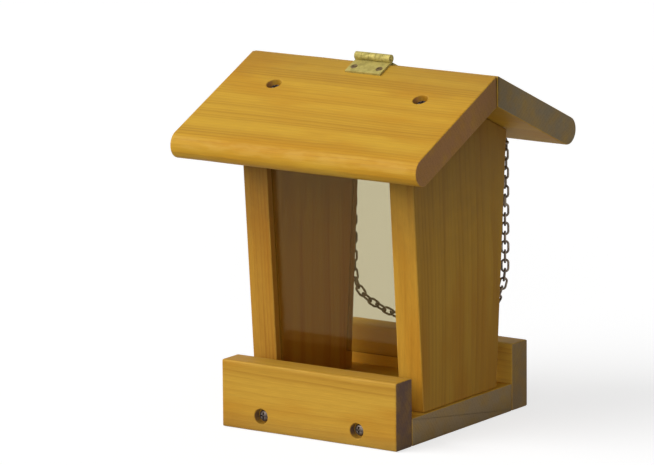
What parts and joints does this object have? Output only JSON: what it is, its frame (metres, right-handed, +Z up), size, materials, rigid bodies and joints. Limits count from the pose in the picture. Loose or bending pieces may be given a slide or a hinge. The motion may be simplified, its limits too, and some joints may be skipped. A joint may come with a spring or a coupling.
{
  "type": "hopper bird feeder",
  "caption": "Small gabled cedar hopper feeder: seed tray with rails, two end walls, clear panels, a hinged rear roof lid and a slack hanging chain.",
  "frame": {"origin": "on the ground under the middle of the floor board", "axes": "+Z up, +X to the right along the ridge, +Y to the rear, where the lid and the chain are; the front rail faces -Y"},
  "size_m": [0.224, 0.224, 0.2842],
  "materials": {
    "cedar": "sawn and sanded cedar, honey stain, satin",
    "cedar_floor": "sawn cedar, honey stain, satin",
    "clear_acrylic": "clear extruded acrylic sheet, polished faces",
    "brass": "lacquered stamped brass, slightly tarnished",
    "screw_steel": "zinc plated steel",
    "chain_steel": "grey zinc plated steel wire"
  },
  "bodies": {
    "feeder": {"floor_board": "cedar_floor", "front_rail": "cedar", "rear_rail": "cedar", "left_end_wall": "cedar", "right_end_wall": "cedar", "front_roof_board": "cedar", "front_clear_panel": "clear_acrylic", "rear_clear_panel": "clear_acrylic", "hinge_front_leaf": "brass", "hinge_pin": "brass", "front_leaf_screws": "brass", "roof_screws": "screw_steel", "front_rail_screws": "screw_steel", "rear_rail_screws": "screw_steel", "left_wall_screws": "screw_steel", "right_wall_screws": "screw_steel", "left_screw_eye": "chain_steel", "right_screw_eye": "chain_steel"},
    "lid": {"rear_roof_lid": "cedar", "hinge_rear_leaf": "brass", "rear_leaf_screws": "brass"},
    "chain": {"hanging_chain": "chain_steel"}
  },
  "joints": [
    {"name": "lid_hinge", "type": "hinge", "parent": "feeder", "child": "lid", "pos_m": [0, 0, 0.2809], "axis": [1, 0, 0], "range_deg": [0, 229]},
    {"name": "chain_swing", "type": "hinge", "parent": "feeder", "child": "chain", "pos_m": [0, 0.07569, 0.21021], "axis": [1, 0, 0], "range_deg": [-6, 65]}
  ]
}
